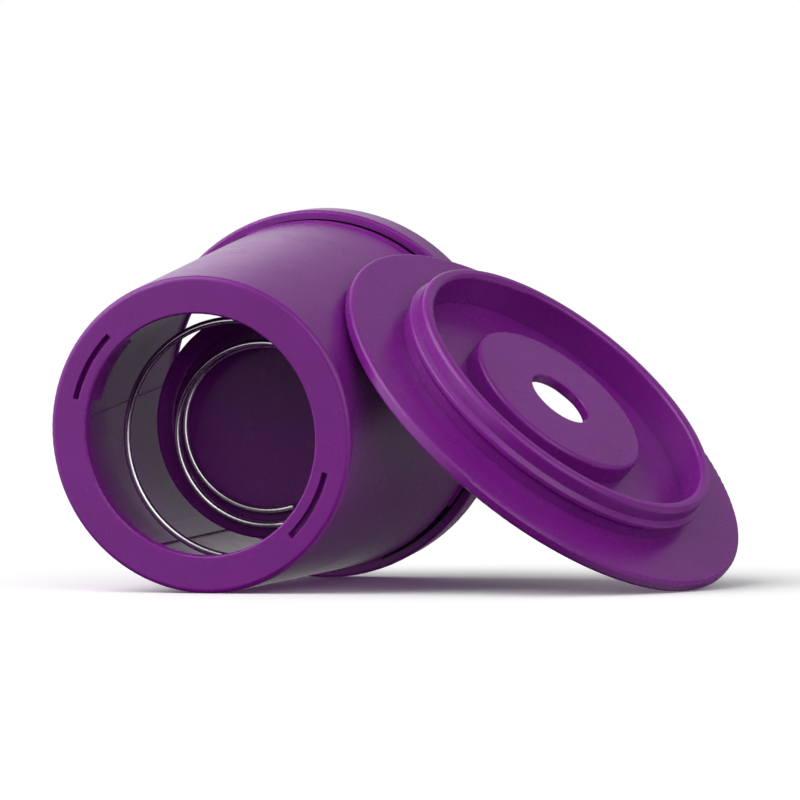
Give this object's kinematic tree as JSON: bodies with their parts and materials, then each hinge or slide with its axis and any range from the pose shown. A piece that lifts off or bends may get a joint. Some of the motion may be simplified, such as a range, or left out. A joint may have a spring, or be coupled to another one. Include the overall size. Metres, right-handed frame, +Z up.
{
  "type": "pop up sprinkler head",
  "caption": "Short flared sprinkler housing lying on its side, with a slotted front ring, return spring, follower plate, hidden riser and a leaning snap lid.",
  "frame": {"origin": "bottom centre of the bounding box, on the floor that the housing and the lid rest on", "axes": "+Z up; the housing's axis heads along +Y from its narrow front face to its wide mouth; the lid leans on its +X side"},
  "size_m": [0.1082, 0.0744, 0.0643],
  "materials": {
    "purple_plastic": "glossy moulded",
    "spring_steel": "bright drawn wire",
    "black_rubber": "matte",
    "grey_plastic": "satin",
    "black_plastic": "satin",
    "screw_steel": "turned"
  },
  "bodies": {
    "housing": {"housing_shell": "purple_plastic", "return_spring": "spring_steel"},
    "gasket": {"collar_gasket": "black_rubber"},
    "collar": {"mouth_collar": "purple_plastic"},
    "follower": {"follower_plate": "purple_plastic", "riser_stem": "purple_plastic", "filter_sleeve": "grey_plastic", "stem_seal": "black_rubber"},
    "nozzle": {"nozzle": "black_plastic"},
    "screw": {"nozzle_screw": "screw_steel"},
    "lid": {"lid": "purple_plastic"}
  },
  "joints": [
    {"name": "follower_slide", "type": "slide", "parent": "housing", "child": "follower", "axis": [0, 0.9928, 0.1199], "range_m": [-0.018, 0], "stiffness_N_per_m": 210, "deforming": ["return_spring"]},
    {"name": "nozzle_turn", "type": "hinge", "parent": "follower", "child": "nozzle", "pos_m": [-0.02277, 0.00813, 0.02729], "axis": [-0.0851, 0.9956, 0.0394], "continuous": true},
    {"name": "screw_turn", "type": "hinge", "parent": "nozzle", "child": "screw", "pos_m": [-0.02277, 0.00813, 0.02729], "axis": [-0.0851, 0.9956, 0.0394], "range_deg": [0, 720]},
    {"name": "gasket_follow", "type": "slide", "parent": "housing", "child": "gasket", "axis": [0, 0.9928, 0.1199], "range_m": [0, 0.0046]},
    {"name": "collar_unscrew", "type": "hinge", "parent": "gasket", "child": "collar", "pos_m": [-0.0221, -0.0334, 0.0248], "axis": [0, 0.9928, 0.1199], "range_deg": [0, 1440]},
    {"name": "lid_lift", "type": "slide", "parent": "housing", "child": "lid", "axis": [0.6608, -0.2392, 0.7114], "range_m": [0, 0.06]}
  ],
  "couplings": [
    {"joint": "gasket_follow", "follows": "collar_unscrew", "m_per_rad": 0.00018303}
  ]
}
